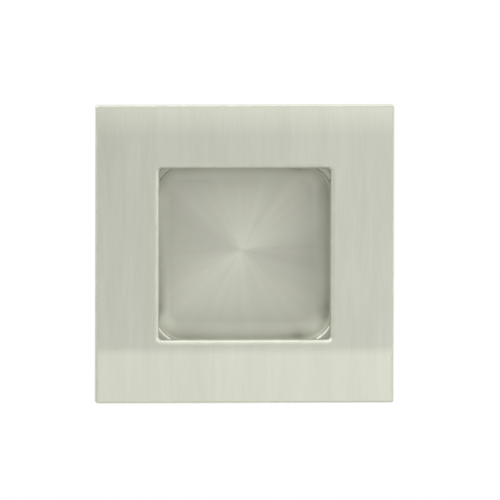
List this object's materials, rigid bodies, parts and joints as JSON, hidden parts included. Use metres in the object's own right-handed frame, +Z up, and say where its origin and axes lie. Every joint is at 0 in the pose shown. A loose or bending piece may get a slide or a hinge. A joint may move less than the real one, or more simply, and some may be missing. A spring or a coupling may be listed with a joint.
{
  "type": "pocket door pull",
  "caption": "Square recessed pull for a sliding pocket door: a satin steel face plate with a square window and a drawn finger cup welded behind it.",
  "frame": {"origin": "middle of the plate's back face, where it lies on the door's surface", "axes": "-Y is the front that looks into the room, +Y points into the door, +Z is up, +X is to the right seen from the front"},
  "size_m": [0.07, 0.0128, 0.07],
  "materials": {
    "plate_steel": "satin",
    "cup_steel": "satin"
  },
  "bodies": {
    "root": {"face_plate": "plate_steel", "recess_cup": "cup_steel"}
  },
  "joints": []
}
